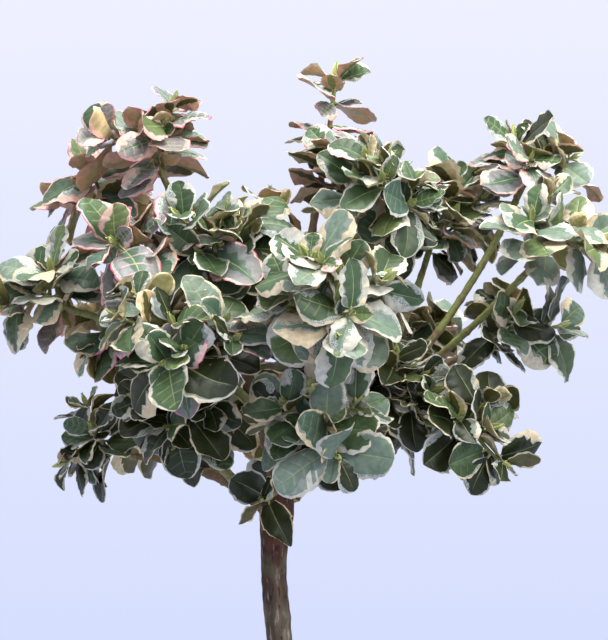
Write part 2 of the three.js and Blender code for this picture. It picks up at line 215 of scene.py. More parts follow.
class Bend:
    """A curve from a root over a knee to a tip."""

    def __init__(self, root, knee, tip):
        self.root, self.knee, self.tip = root, knee, tip

    def point(self, share):
        back = 1 - share
        return self.root * back * back + self.knee * 2 * back * share + self.tip * share * share

    def tangent(self, share):
        return unit((self.knee - self.root) * (1 - share) + (self.tip - self.knee) * share)

    def length(self):
        points = [self.point(share) for share in np.linspace(0, 1, 9)]
        return sum(np.linalg.norm(b - a) for a, b in zip(points, points[1:]))


class TrunkAxis:
    """The trunk's axis leans a little, sways once and has a kink under the graft."""

    def point(self, share):
        below = TRUNK.length * (1 - share)
        kink = TRUNK.kink * bell((below - TRUNK.kink_below) / TRUNK.kink_reach)
        x = TRUNK.lean * share + kink
        y = TRUNK.sway * sin(pi * share)
        return np.array((x, y, SOIL_TOP + GAP + TRUNK.length * share))

    def tangent(self, share):
        step = 0.004
        return unit(self.point(share + step) - self.point(share - step))


def trunk_radius(share):
    up = TRUNK.length * share
    below = TRUNK.length - up
    flare = TRUNK.flare * exp(-up / TRUNK.flare_height)
    swell = TRUNK.graft_swell * bell((below - TRUNK.graft_below) / TRUNK.graft_reach)
    tip = min(1, TRUNK.head + below / TRUNK.head_reach)
    return (mix(TRUNK.foot, TRUNK.neck, share) + flare + swell) * tip


Limb = namedtuple("Limb", "bough curve radius middle")
Shoot = namedtuple("Shoot", "curve radius nodes outward leaf stand turn")


def plan_limbs():
    axis = TrunkAxis()
    limbs = {"trunk": Limb(None, axis, trunk_radius, None)}
    fork = axis.point(1 - FORK_BELOW / TRUNK.length)
    for bough in BOUGHS:
        parent = limbs[bough.parent]
        bearing = radians(bough.bearing)
        level = np.array((cos(bearing), sin(bearing), 0.0)) * bough.reach
        middle = fork + level + UP * bough.height
        root = parent.curve.point(bough.at)
        heading = unit(middle - root)
        tip = middle - heading * 0.5 * bough.size
        bend = unit(heading + parent.curve.tangent(bough.at) * BOUGH.follow)
        knee = root + bend * 0.5 * np.linalg.norm(tip - root)
        thick = BOUGH.root if bough.parent == "trunk" else parent.radius(bough.at) * BOUGH.slimming
        limbs[bough.name] = Limb(bough, Bend(root, knee, tip), taper(thick, BOUGH.twig), middle)
    return limbs, fork


def side_shoot(stem, share, tilt, angle, length, nodes, radius):
    """A shoot that leaves its stem at a tilt and turns up and outwards."""
    root = stem.curve.point(share)
    tangent = stem.curve.tangent(share)
    first = tangent * cos(tilt) + around(tangent, angle) * sin(tilt)
    later = unit(first + LIGHT * SIDE.to_light + stem.outward * SIDE.outward)
    bend = root + first * 0.5 * length
    tip = bend + later * 0.5 * length
    return stem._replace(curve=Bend(root, bend, tip), radius=radius, nodes=nodes)


def plan_shoots(mass, fork, stream):
    """The mass's stem and its side shoots, with the part's own draws."""
    habit = HABITS[mass.bough.habit]
    heading = mass.curve.tangent(1)
    outward = unit(mass.middle - fork)
    start = mass.curve.tip + heading * GAP
    rise = unit(heading + outward * STEM_OUTWARD + UP * habit.lift)
    end = mass.middle + rise * habit.past_middle * mass.bough.size
    knee = start + heading * 0.5 * np.linalg.norm(end - start)
    radius = taper(BOUGH.twig, SHOOT_TIP)
    stem = Shoot(Bend(start, knee, end), radius, habit.nodes, outward, habit.leaf, habit.stand, habit.turn)
    shoots = [stem]
    radius = taper(SHOOT_TIP * SIDE.thick, SHOOT_TIP * SIDE.thin)
    for k in range(habit.sides):
        share = SIDE.low + SIDE.span * (k + SIDE.shift + SIDE.jitter * next(stream)) / habit.sides
        tilt = radians(SIDE.tilt + SIDE.tilt_more * next(stream))
        angle = radians(SIDE.first_turn + SIDE.apart * k) + SIDE.swing * (next(stream) - 0.5)
        length = mass.bough.size * (SIDE.length + SIDE.length_more * next(stream))
        shoots.append(side_shoot(stem, share, tilt, angle, length, SIDE.nodes, radius))
    return shoots


Leaf = namedtuple("Leaf", "root along face length age")


def pair_on(shoot, share, age, turn, stream):
    """Two opposite leaves at one node, facing up and outwards."""
    pair = []
    tangent = shoot.curve.tangent(share)
    for angle in (turn, turn + pi):
        angle += (next(stream) - 0.5) * LEAF.swing
        spread = (LEAF.spread + LEAF.spread_by_age * age) * shoot.stand
        spread = radians(spread + (next(stream) - 0.5) * LEAF.spread_jitter)
        length = shoot.leaf * LEAF.length * (LEAF.shortest + LEAF.length_more * next(stream))
        length *= LEAF.youngest if age == 0 else 1
        along = unit(tangent * cos(spread) + around(tangent, angle) * sin(spread))
        face = square_to(along, tangent + LIGHT + shoot.outward * LEAF.outward)
        roll = radians(LEAF.roll * (next(stream) - 0.5))
        face = face * cos(roll) + np.cross(face, along) * sin(roll)
        pair.append(Leaf(shoot.curve.point(share), along, face, length * LEAF.life_size, age))
    return pair


def leaves_on(shoot, stream):
    """The part's own leaves on a shoot: each pair a quarter turn from the last."""
    leaves = []
    turn = next(stream) * pi + radians(shoot.turn)
    for index, share in enumerate(shoot.nodes):
        age = len(shoot.nodes) - 1 - index
        leaves += pair_on(shoot, share, age, turn + index * pi / 2, stream)
    return leaves, turn


# Finer growth than the part's: more side shoots on the stems, twiglets on the side shoots, and leaf
# pairs that close up into a rosette at every tip. A finer node has its place, its age and its size
SIDE_FINER_NODES = ((0.34, 1, 1), (0.62, 1, 0.95), (0.88, 0, 0.7))
OWN_NODES = ((0.45, 1, 1), (0.7, 1, 0.95), (0.88, 0, 0.85), (0.98, 0, 0.6))
FINE_SIDE = Namespace(
    low=0.22, span=0.68, tilt=(42, 66), first_turn=90, turn=(-0.4, 0.4), length=(0.4, 0.66), thin=0.7
)
TWIGLET = Namespace(at=(0.3, 0.5), tilt=(38, 60), length=0.24, length_more=0.18)
FACE_JITTER = 0.4
SWING = Namespace(along=0.35, face=0.25, length=(0.8, 1))
PLACE_TRIES = 6
# Leaves whose middles are farther apart than this can't cross
NEAR = 0.045
# Shares of a leaf's length: its stalk, and where its middle is
PETIOLE = 0.11
MIDDLE = 0.6
# Corners that stand for a leaf's blade, as shares of its length along it and across it
OUTLINE = ((0.2, 0.1), (0.6, 0.38), (0.97, 0.14), (0.97, -0.14), (0.6, -0.38), (0.2, -0.1))


def fine_shoots(mass, shoots, chance):
    """Side shoots between the part's own, and one twiglet on each of the part's side shoots."""
    stem = shoots[0]
    habit = HABITS[mass.bough.habit]
    radius = taper(SHOOT_TIP, SHOOT_TIP * FINE_SIDE.thin)
    finer = []
    for k in range(habit.more_sides):
        share = FINE_SIDE.low + FINE_SIDE.span * (k + chance.random()) / habit.more_sides
        tilt = radians(chance.uniform(*FINE_SIDE.tilt))
        angle = radians(FINE_SIDE.first_turn + SIDE.apart * k) + chance.uniform(*FINE_SIDE.turn)
        length = mass.bough.size * chance.uniform(*FINE_SIDE.length)
        finer.append(side_shoot(stem, share, tilt, angle, length, (), radius))
    if habit.twiglets:
        for shoot in shoots[1:]:
            tilt = radians(chance.uniform(*TWIGLET.tilt))
            length = mass.bough.size * (TWIGLET.length + TWIGLET.length_more * chance.random())
            angle = chance.uniform(0, 2 * pi)
            finer.append(side_shoot(shoot, chance.uniform(*TWIGLET.at), tilt, angle, length, (), radius))
    return finer


def fine_leaves(shoot, nodes, turn, chance):
    """Pairs between the part's own, an eighth of a turn on from them."""
    leaves = []
    stream = iter(chance.random, None)
    for index, (share, age, size) in enumerate(nodes):
        for leaf in pair_on(shoot, share, age, turn + pi / 4 + index * pi / 2, stream):
            face = square_to(leaf.along, leaf.face + FACE_JITTER * chance.normal(size=3))
            leaves.append(leaf._replace(face=face, length=leaf.length * size))
    return leaves


def leaf_corners(leaf):
    """Six corners of a leaf's blade, enough to tell whether two leaves cross."""
    side = np.cross(leaf.face, leaf.along)
    corners = []
    for share, half in OUTLINE:
        lift = 0.16 * abs(half) - 0.1 * share * share
        corners.append(leaf.root + leaf.length * (leaf.along * share + side * half + leaf.face * lift))
    return corners


def leaf_middle(leaf):
    return leaf.root + leaf.along * leaf.length * MIDDLE


def leaf_tree(leaf):
    return BVHTree.FromPolygons(leaf_corners(leaf), [(0, 1, 4), (0, 4, 5), (1, 2, 3), (1, 3, 4)])


def turned(leaf, chance):
    """The same leaf swung a little about its root, to miss what it would cross."""
    along = unit(leaf.along + SWING.along * chance.normal(size=3))
    face = square_to(along, unit(leaf.face + SWING.face * chance.normal(size=3)))
    return Leaf(leaf.root, along, face, leaf.length * chance.uniform(*SWING.length), leaf.age)


class Crown:
    """The leaves that are placed so far, and the wood that they keep clear of."""

    def __init__(self, wood):
        self.wood = wood
        self.leaves = []
        self.trees = []
        self.middles = np.zeros((0, 3))

    def fits(self, leaf, mass, tree):
        if any(np.linalg.norm(corner - mass.middle) > mass.bough.size for corner in leaf_corners(leaf)):
            return False
        if tree.overlap(self.wood):
            return False
        near = np.linalg.norm(self.middles - leaf_middle(leaf), axis=1) < NEAR
        return not any(tree.overlap(self.trees[index]) for index in np.flatnonzero(near))

    def place(self, leaves, shoot, mass, chance):
        """Adds each leaf as soon as it fits, swung a little after each try."""
        for leaf in leaves:
            for _ in range(PLACE_TRIES):
                tree = leaf_tree(leaf)
                if self.fits(leaf, mass, tree):
                    self.leaves.append((leaf, mass, shoot))
                    self.trees.append(tree)
                    self.middles = np.vstack((self.middles, leaf_middle(leaf)))
                    break
                leaf = turned(leaf, chance)


# Meshes
class Heap:
    """Points, faces and their material slots, gathered for one joined piece."""

    def __init__(self):
        self.points = []
        self.faces = []
        self.slots = []

    def add(self, points, faces, slots=0):
        start = len(self.points)
        self.points.extend(points)
        self.faces += [tuple(index + start for index in face) for face in faces]
        self.slots.append(np.broadcast_to(slots, len(faces)))

    def piece(self, name, materials, sharp=None):
        mesh = bpy.data.meshes.new(name)
        mesh.from_pydata(self.points, [], self.faces)
        for material in materials:
            mesh.materials.append(material)
        mesh.polygons.foreach_set("material_index", np.concatenate(self.slots).astype(np.int32))
        mesh.shade_smooth()
        if sharp:
            mesh.set_sharp_from_angle(angle=radians(sharp))
        mesh.update()
        piece = bpy.data.objects.new(name, mesh)
        bpy.context.scene.collection.objects.link(piece)
        return piece


def ring_face(low, step, sides):
    """The face at a step round two rings of points, which are stored one after the other from low on."""
    beside = (step + 1) % sides
    return low + step, low + beside, low + sides + beside, low + sides + step


def tube(curve, radius, sides, rings, slot=0, relief=None, closed=True):
    """A limb's skin along a curve, with rounded ends and an optional relief at each point."""
    points = []
    side = across(curve.tangent(0))[0]
    for ring in range(rings + 1):
        share = ring / rings
        middle = curve.point(share)
        tangent = curve.tangent(share)
        side = square_to(tangent, side)
        over = np.cross(tangent, side)
        for step in range(sides):
            angle = 2 * pi * step / sides
            out = side * cos(angle) + over * sin(angle)
            reach = radius(share)
            if relief:
                reach += relief(middle + out * reach)
            points.append(middle + out * reach)
    last = rings * sides
    faces = [ring_face(low, step, sides) for low in range(0, last, sides) for step in range(sides)]
    if closed:
        for share, first, turn in ((0, 0, 1), (1, last, -1)):
            tip = len(points)
            points.append(curve.point(share) - curve.tangent(share) * turn * radius(share) * 0.5)
            for step in range(sides):
                pair = (first + step, first + (step + 1) % sides)[::-turn]
                faces.append((tip, *pair))
    return points, faces, slot


# A leaf's colours as they show on a screen; each is a material slot of the leaves. The underside's
# under, tan, blush, ochre and salmon are its own olive and tan tones made lighter, as painted light
# shining through the blade
LEAF_COLOURS = {
    "rib": (134, 150, 98), "deep": (54, 73, 45), "old": (35, 43, 18), "sea": (74, 98, 80),
    "mid": (67, 90, 59), "young": (88, 106, 64), "pale": (103, 122, 106), "grey": (124, 134, 124),
    "frost": (96, 112, 98), "cream": (184, 183, 170), "ivory": (192, 180, 152), "pink": (188, 84, 122),
    "petal": (204, 176, 164), "rose": (160, 138, 132), "mauve": (116, 118, 118), "under": (146, 142, 90),
    "shade": (86, 83, 42), "tan": (214, 200, 162), "blush": (206, 168, 134), "ochre": (188, 168, 126),
    "salmon": (214, 168, 148), "dim_rib": (104, 122, 80), "leaf_vein": (104, 122, 76),
    "flush": (192, 116, 138),
}
FROST_WHITE = (206, 210, 200)
SLOT = {name: index for index, name in enumerate(LEAF_COLOURS)}
# The side veins' colour on each green
VEIN_OF = {
    "deep": "mid", "old": "deep", "sea": "pale", "mid": "leaf_vein", "young": "leaf_vein", "pale": "grey",
    "mauve": "rose",
}

# The blade of a leaf: rows across it from base to tip, three to each side vein, and on each half lines
# from the midrib out, which part the midrib, the green, the frosted green, the cream and the rim. The
# underside's lines are shares of the way to where the green ends, and lie lower than the upper face
VEINS = 5
ROWS = 3 * VEINS
LINES = 7
UNDER_SHARES = (0.42, 0.88)
UNDER_DROPS = np.array((0.85, 0.4))
SPINE_DROP = 0.65
UNDER_LINES = len(UNDER_SHARES)
# What the three rows at each side vein differ in: their place, how far the green reaches into the
# cream, the rim's teeth, how deep the blade is sunk there, and how far the centre's green reaches. The
# outermost rows are drawn towards the blade's ends
ROW_SHARES = (np.arange(ROWS) // 3 + np.tile((0.25, 0.4, 0.78), VEINS)) / VEINS / 1.01
ROW_SHARES = ROW_SHARES + 0.02 * ROW_SHARES**8 - 0.015 * (1 - ROW_SHARES) ** 8
FINGERS = np.tile((0.4, 0.5, 1.0), VEINS)
TEETH = 0.045 * np.tile((-0.6, -0.2, 1.0), VEINS)
SUNK = np.tile((0.5, 0.7, -1.0), VEINS)
CORE = np.tile((0.7, 0.85, 1.3), VEINS)
# What each leaf's shape is drawn from, as shares of its length, but for the thickness in metres and the
# two depths below the upper face, which count thicknesses
BLADE = Namespace(
    half_width=0.44, broad=(0.84, 1.12), low_power=(0.52, 0.8), tip_power=(0.42, 0.75), uneven=0.02,
    fold=(0.04, 0.38), young_fold=1.5, roll=(0.0, 0.45), droop=(-0.02, 0.24), limp=0.2, limp_chance=0.22,
    fold_round=0.03, slant=0.6, sweep=0.06, twist=0.32, wave=(0.02, 0.085), waves=7.5,
    ruffle=(0.005, 0.03), ruffles=21, quilt=(0.01, 0.024), rib_sunk=0.004, thickness=0.00035,
    spine_depth=2.2, under_depth=1.5,
)
# The midrib's half-width at the tip and what it gains towards the base, and so for the centre's green
RIB = (0.01, 0.04)
CENTRE = (0.1, 0.5)
# The cream margin and the frosted patch inside it, as shares of the half-width: how thin they are, how
# often, where, how deep and how wide they widen into a sector, and how far out the green may reach
MARGIN = Namespace(
    thin=(0.04, 0.11), sectors=0.7, at=(0.15, 1.0), depth=(0.25, 0.9), width=(0.14, 0.42), uneven=0.35,
    uneven_sector=0.12, fingers=0.8, at_tip=0.45, tip_from=0.84, green=(0.13, 0.93), plain=(0.09, 0.92),
    less_if_old=0.5, in_sector=(0.55, 0.45),
)
FROST = Namespace(
    thin=(0.01, 0.08), sectors=0.35, pale_sectors=0.3, at=(0.1, 0.95), depth=(0.1, 0.5),
    width=(0.12, 0.3), spots=(0.7, 0.6), under_cream=0.2, wide_cream=0.2, least=0.012, most=0.6,
)
RIM = 0.955


def blade_faces():
    """The faces of one blade: on each half the strips from the midrib to the rim, above and then below."""
    base, tip, spine = 0, 1, 2
    row = np.arange(ROWS)
    tops = spine + ROWS + np.arange(2 * ROWS * LINES).reshape(2, ROWS, LINES)
    below_spine = tops.max() + 1
    lows = below_spine + ROWS + np.arange(2 * ROWS * UNDER_LINES).reshape(2, ROWS, UNDER_LINES)
    faces = []
    for half in (0, 1):
        upper = np.column_stack((spine + row, tops[half]))
        lower = np.column_stack((below_spine + row, lows[half], tops[half, :, -1]))
        for lines, turned_over in ((upper, half == 0), (lower, half == 1)):
            lines = np.pad(lines, ((1, 1), (0, 0)), constant_values=((base, tip), (0, 0))).T.tolist()
            for inner, outer in zip(lines, lines[1:]):
                for start in range(ROWS + 1):
                    ring = (inner[start], outer[start], outer[start + 1], inner[start + 1])
                    face = tuple(dict.fromkeys(ring))
                    faces.append(face[::-1] if turned_over else face)
    return faces


BLADE_FACES = blade_faces()
# Each face's half, its strip, 0 at the midrib to 6 at the rim and 7 to 9 below, and its row
BLADE_HALVES, BLADE_STRIPS, BLADE_ROWS = np.indices((2, LINES + UNDER_LINES + 1, ROWS + 1)).reshape(3, -1)
BLADE_ROWS = np.maximum(BLADE_ROWS - 1, 0)


def sector(plan, share, chance):
    """A patch that widens and narrows along the rows, drawn from a plan's ranges."""
    middle = chance.uniform(*plan.at)
    depth = chance.uniform(*plan.depth)
    width = chance.uniform(*plan.width)
    return depth * np.exp(-(((share - middle) / width) ** 2))


def margins(look, chance):
    """For each half and row, how far out the green and the frosted green reach: a thin cream margin that
    widens in places into a sector, with fingers of green along the veins."""
    share = np.arange(1, ROWS + 1) / (ROWS + 1)
    even, fingered = MARGIN.in_sector
    least, more = FROST.spots
    reach = np.empty((2, 2, ROWS))
    for half in (0, 1):
        thin = chance.uniform(*MARGIN.thin) * (1 - MARGIN.less_if_old * look.old)
        cream = np.full(ROWS, thin)
        if chance.random() < look.cream * MARGIN.sectors:
            cream += sector(MARGIN, share, chance) * (even + fingered * FINGERS)
        uneven = MARGIN.uneven * thin * chance.normal(size=ROWS)
        cream += uneven + MARGIN.uneven_sector * (cream - thin) * chance.normal(size=ROWS)
        cream += thin * MARGIN.fingers * FINGERS
        cream += MARGIN.at_tip * np.clip((share - MARGIN.tip_from) / (1 - MARGIN.tip_from), 0, 1) ** 2
        outer = np.clip(1 - cream, *MARGIN.green)
        patch = chance.uniform(*FROST.thin)
        if chance.random() < FROST.sectors + FROST.pale_sectors * look.pale:
            patch = patch + sector(FROST, share, chance)
        frost = patch * (least + more * chance.random(ROWS))
        frost = frost + FROST.under_cream * np.clip(cream - FROST.wide_cream, 0, 1)
        inner = np.clip(outer - np.clip(frost, FROST.least, FROST.most), *MARGIN.plain)
        reach[half] = inner, outer
    return reach


def blade(leaf, look, chance):
    """Points and face slots of one leaf's closed blade, in its own outline."""
    length = leaf.length * (1 - PETIOLE)
    broad = BLADE.half_width * chance.uniform(*BLADE.broad) * look.broad
    low_power = chance.uniform(*BLADE.low_power)
    tip_power = chance.uniform(*BLADE.tip_power)
    widest = low_power / (low_power + tip_power)
    peak = widest**low_power * (1 - widest) ** tip_power
    reach = margins(look, chance)
    share = ROW_SHARES
    edge = 1 + TEETH * np.sin(pi * share) + BLADE.uneven * chance.normal(size=ROWS)
    fold = chance.uniform(*BLADE.fold) * (BLADE.young_fold if leaf.age == 0 else 1)
    roll = chance.uniform(*BLADE.roll)
    droop = chance.uniform(*BLADE.droop) + (BLADE.limp if chance.random() < BLADE.limp_chance else 0)
    sweep = chance.normal() * BLADE.sweep
    twist = chance.normal() * BLADE.twist
    wave = chance.uniform(*BLADE.wave)
    ruffle = chance.uniform(*BLADE.ruffle)
    quilt = chance.uniform(*BLADE.quilt)
    phase = chance.uniform(0, 2 * pi, 2)

    def line_at(half, t):
        """A line of the upper face from base to tip, at the share t of the half-width."""
        along = share + BLADE.slant * t * share * (1 - share)
        width = broad * along**low_power * (1 - along) ** tip_power / peak
        out = width * t * (edge * t + 1 - t)
        lift = fold * (np.hypot(out, BLADE.fold_round) - BLADE.fold_round) - roll * out * t * t
        lift -= droop * along**2
        lift += wave * t * t * np.sin(BLADE.waves * along + phase[half])
        lift += ruffle * t**3 * np.sin(BLADE.ruffles * along + phase[1 - half])
        lift -= quilt * (SUNK * 4 * t * (1 - t)) * np.sin(pi * along)
        side = (1 if half == 0 else -1) * out + sweep * along**2
        lean = twist * along
        turned_side = side * np.cos(lean) - lift * np.sin(lean)
        turned_lift = side * np.sin(lean) + lift * np.cos(lean)
        return np.stack((along, turned_side, turned_lift), axis=-1)

    spine = line_at(0, np.zeros(ROWS))
    spine[:, 2] -= BLADE.rib_sunk
    tops = []
    lows = []
    for half in (0, 1):
        inner, outer = reach[half]
        rib = RIB[0] + RIB[1] * (1 - share) ** 1.3
        core = (CENTRE[0] + CENTRE[1] * (1 - share)) * CORE
        rim = np.where(outer > RIM - 0.02, mix(outer, 1, 0.5), RIM)
        lines = (rib, mix(rib, inner, core), mix(rib, inner, 0.8), inner, outer, rim, np.ones(ROWS))
        tops.append(np.stack([line_at(half, t) for t in lines], axis=1))
        lows.append(np.stack([line_at(half, outer * t) for t in UNDER_SHARES], axis=1))
    thickness = BLADE.thickness / length
    below_spine = spine.copy()
    below_spine[:, 2] -= thickness * BLADE.spine_depth + quilt * SPINE_DROP
    lows = np.stack(lows)
    lows[..., 2] -= thickness * BLADE.under_depth + quilt * UNDER_DROPS
    tip_side = sweep * cos(twist) + droop * sin(twist)
    tip_lift = sweep * sin(twist) - droop * cos(twist)
    ends = ((0.0, 0.0, 0.0), (1.0, tip_side, tip_lift))
    points = np.concatenate((ends, spine, np.stack(tops).reshape(-1, 3), below_spine, lows.reshape(-1, 3)))
    frame_of = np.stack((leaf.along, np.cross(leaf.face, leaf.along), leaf.face))
    start = leaf.root + leaf.along * leaf.length * PETIOLE
    return start + points * length @ frame_of, blade_slots(leaf, look, chance)


# How often each green is dealt to a leaf that is neither young, old nor pale
GREENS = {"deep": 0.5, "sea": 0.35, "mid": 0.15}
# How often a leaf takes what its spray's look leaves open: other greens, its margin, its underside with
# the edge there, its veins and flecks, and a pink rim's lighter spots
ODDS = Namespace(
    more_young=0.15, young_within=0.5, bright=0.5, pale_mauve=0.4, mid_centre=0.35, mauve=0.45, cream=0.65,
    frost=0.55, shade=0.35, ochre=0.5, edge=0.4, pink_edge=0.7, salmon=0.8, veins=0.45, old_veins=0.2,
    pink_veins=0.7, fleck=0.14, spot=0.3,
)
# From which share of its length on a blade's rib is green, and a pink blade's margin flushed
RIB_END = 0.86
FLUSH_FROM = (0.6, 0.8, 0.95)


def blade_slots(leaf, look, chance):
    """Deals each strip of a blade its colour."""

    def often(share):
        return chance.random() < share

    pink = often(look.pink)
    if leaf.age == 0 and often(look.young + ODDS.more_young) or often(look.young * ODDS.young_within):
        green = "young" if often(ODDS.bright) else "mid"
    elif often(look.old):
        green = "old"
    elif often(look.pale):
        green = "mauve" if pink and often(ODDS.pale_mauve) else "pale"
    else:
        green = chance.choice(list(GREENS), p=list(GREENS.values()))
    centre = green
    if green in ("deep", "sea") and often(ODDS.mid_centre):
        centre = "mid"
    if pink and green != "young" and often(ODDS.mauve):
        centre, green = "sea", "mauve"
    rib = "dim_rib" if green in ("old", "deep", "sea") else "rib"
    cream = "cream" if often(ODDS.cream) else "ivory"
    frost = "frost" if often(ODDS.frost) else "rose" if pink else "grey"
    # The underside's colours are painted lighter, for light shining through the blade
    under = "shade" if green == "old" or often(ODDS.shade) else "under"
    if pink and often(ODDS.ochre):
        under = "ochre"
    edge = under
    if often(ODDS.pink_edge if pink else ODDS.edge):
        edge = "blush" if pink else "ochre"
    below = "salmon" if pink and often(ODDS.salmon) else "tan"
    deal = (rib, centre, green, green, frost, cream, cream, under, edge, below)
    slots = np.array([SLOT[name] for name in deal])[BLADE_STRIPS]
    fleck = chance.random(len(slots))
    if often(ODDS.old_veins if green == "old" else ODDS.pink_veins if pink else ODDS.veins):
        slots[(BLADE_STRIPS > 0) & (BLADE_STRIPS < 3) & (BLADE_ROWS % 3 == 0)] = SLOT[VEIN_OF[green]]
    slots[(BLADE_STRIPS == 0) & (BLADE_ROWS > ROWS * RIB_END)] = SLOT[green]
    slots[(BLADE_STRIPS == 4) & (fleck < ODDS.fleck)] = SLOT[cream]
    if pink:
        flushed = (BLADE_ROWS > ROWS * chance.choice(FLUSH_FROM)) & (BLADE_HALVES != chance.integers(3))
        rim = BLADE_STRIPS == LINES - 1
        margin = BLADE_STRIPS == LINES - 2
        slots[rim] = SLOT["pink"]
        slots[rim & (chance.random(len(slots)) < ODDS.spot)] = SLOT["salmon"]
        slots[margin] = SLOT["petal"]
        slots[margin & flushed] = SLOT["flush"]
    return slots


# Rows of a bud's scale: shares of its length and of its half-width, and how far it lifts
SCALE_ROWS = ((0.2, 0.8, 0.0), (0.5, 1.0, 0.03), (0.8, 0.55, 0.05))
SCALE_THICKNESS = -0.12


def bud_scale(root, along, face, length, half_width):
    """One pointed scale of a bud, cupped round it: rows of an edge, the middle twice and an edge."""
    side = np.cross(face, along)
    points = [root]
    for share, width, lift in SCALE_ROWS:
        for place, rise, thick in ((-1, 0.4, 0), (0, 0, 0), (0, 0, SCALE_THICKNESS), (1, 0.4, 0)):
            reach = half_width * width
            height = lift * length + rise * reach + thick * half_width
            points.append(root + along * length * share + side * reach * place + face * height)
    points.append(root + along * length + face * length * 0.02)
    faces = [(0, 2, 1), (0, 4, 2), (0, 1, 3), (0, 3, 4)]
    for low, high in ((1, 5), (5, 9)):
        faces += [(low, low + 1, high + 1, high), (low + 1, low + 3, high + 3, high + 1)]
        faces += [(low, high, high + 2, low + 2), (low + 2, high + 2, high + 3, low + 3)]
    faces += [(13, 9, 10), (13, 10, 12), (13, 11, 9), (13, 12, 11)]
    return points, faces


BUD = Namespace(length=(0.008, 0.014), closed=(0.0, 0.08), opens=0.2, open=(0.2, 0.4), off=0.0006, sunk=0.001)


def bud(shoot, chance, heap):
    """A pointed pale bud: two pairs of scales that close on each other, and now and then a third."""
    tip = shoot.curve.point(1)
    along = shoot.curve.tangent(1)
    turn = chance.uniform(0, pi)
    size = chance.uniform(*BUD.length)
    # Each pair's turn in quarters, its spread, and its length and half-width as shares of the bud's length
    scales = [(0, chance.uniform(*BUD.closed), 1.0, 0.21), (1, 0.02, 0.94, 0.19)]
    if chance.random() < BUD.opens:
        scales.append((1, chance.uniform(*BUD.open), 0.75, 0.26))
    for pair, spread, length, width in scales:
        for half in (0, 1):
            out = around(along, turn + pair * pi / 2 + half * pi)
            lean = unit(along + out * spread)
            face = unit(-out + along * np.dot(out, lean))
            root = tip + out * BUD.off - along * BUD.sunk
            points, faces = bud_scale(root, lean, face, size * length, size * width)
            heap.add(points, faces)


# Materials
def linear(red, green, blue):
    """A colour given as it shows on a screen, 0 to 255, as the shader wants it."""
    channels = []
    for value in (red, green, blue):
        value = value / 255
        channels.append(value / 12.92 if value <= 0.04045 else ((value + 0.055) / 1.055) ** 2.4)
    return tuple(channels)


class Shading:
    """The nodes of a material or a world; each method gives the socket with its result."""

    def __init__(self, tree):
        self.nodes = tree.nodes
        self.links = tree.links

    def node(self, kind, output, inputs, **settings):
        """A new node, with each input linked to a socket or set to a value."""
        node = self.nodes.new(f"ShaderNode{kind}")
        for key, value in settings.items():
            setattr(node, key, value)
        for key, value in inputs.items():
            if isinstance(value, bpy.types.NodeSocket):
                self.links.new(value, node.inputs[key])
            else:
                node.inputs[key].default_value = value
        return node.outputs[output]

    def place(self, space="Object"):
        """A point in the object's own metres, or in the world's own directions."""
        return self.node("TexCoord", space, {})

    def height(self, space="Object"):
        return self.node("SeparateXYZ", "Z", {"Vector": self.place(space)})

    def noise(self, scale, detail=3, stretch=(1, 1, 1)):
        spot = self.node("Mapping", "Vector", {"Vector": self.place(), "Scale": stretch})
        return self.node("TexNoise", "Fac", {"Vector": spot, "Scale": scale, "Detail": detail})

    def ranged(self, value, start, end, low=0.0, high=1.0):
        """A value between start and end as one between low and high."""
        inputs = {"Value": value, "From Min": start, "From Max": end, "To Min": low, "To Max": high}
        return self.node("MapRange", "Result", inputs)

    def ramp(self, value, stops):
        """Colours along a value, from (position, colour) pairs."""
        ramp = self.nodes.new("ShaderNodeValToRGB")
        elements = ramp.color_ramp.elements
        while len(elements) < len(stops):
            elements.new(0.5)
        for element, (position, colour) in zip(elements, stops):
            element.position = position
            element.color = (*colour, 1)
        self.links.new(value, ramp.inputs["Fac"])
        return ramp.outputs["Color"]

    def tones(self, value, dark, light, start=0.3, end=0.7):
        """Two colours, given as they show on a screen, run into each other along a value."""
        return self.ramp(value, ((start, linear(*dark)), (end, linear(*light))))

    def blend(self, share, first, second):
        return self.node("Mix", 2, {"Factor": share, 6: first, 7: second}, data_type="RGBA")

    def laid_over(self, tint, layer, pattern, start, end):
        """A layer over a tint, as strong as a pattern says: start and end pair its value and strength."""
        share = self.ramp(pattern, [(value, (strength,) * 3) for value, strength in (start, end)])
        return self.blend(share, tint, layer)


class Finish(Shading):
    def __init__(self, name, roughness, specular=0.5):
        self.material = bpy.data.materials.new(name)
        self.material.use_nodes = True
        super().__init__(self.material.node_tree)
        self.inputs = self.nodes["Principled BSDF"].inputs
        self.inputs["Roughness"].default_value = roughness
        self.inputs["Specular IOR Level"].default_value = specular

    def done(self, colour, relief=None, strength=0.0, distance=0.0004):
        self.links.new(colour, self.inputs["Base Color"])
        if relief:
            inputs = {"Height": relief, "Strength": strength, "Distance": distance}
            self.links.new(self.node("Bump", "Normal", inputs), self.inputs["Normal"])
        return self.material


def mottled(name, screen, roughness, variation, scale, bump, stretch=(1, 1, 1), specular=0.5):
    """One base colour, given as it shows on a screen, with a soft mottling and a fine relief."""
    made = Finish(name, roughness, specular)
    mottle = made.noise(scale, 3, stretch)
    colour = np.array(linear(*screen))
    stops = ((0.3, colour * (1 - variation)), (0.7, colour * (1 + variation)))
    return made.done(made.ramp(mottle, stops), mottle, bump)


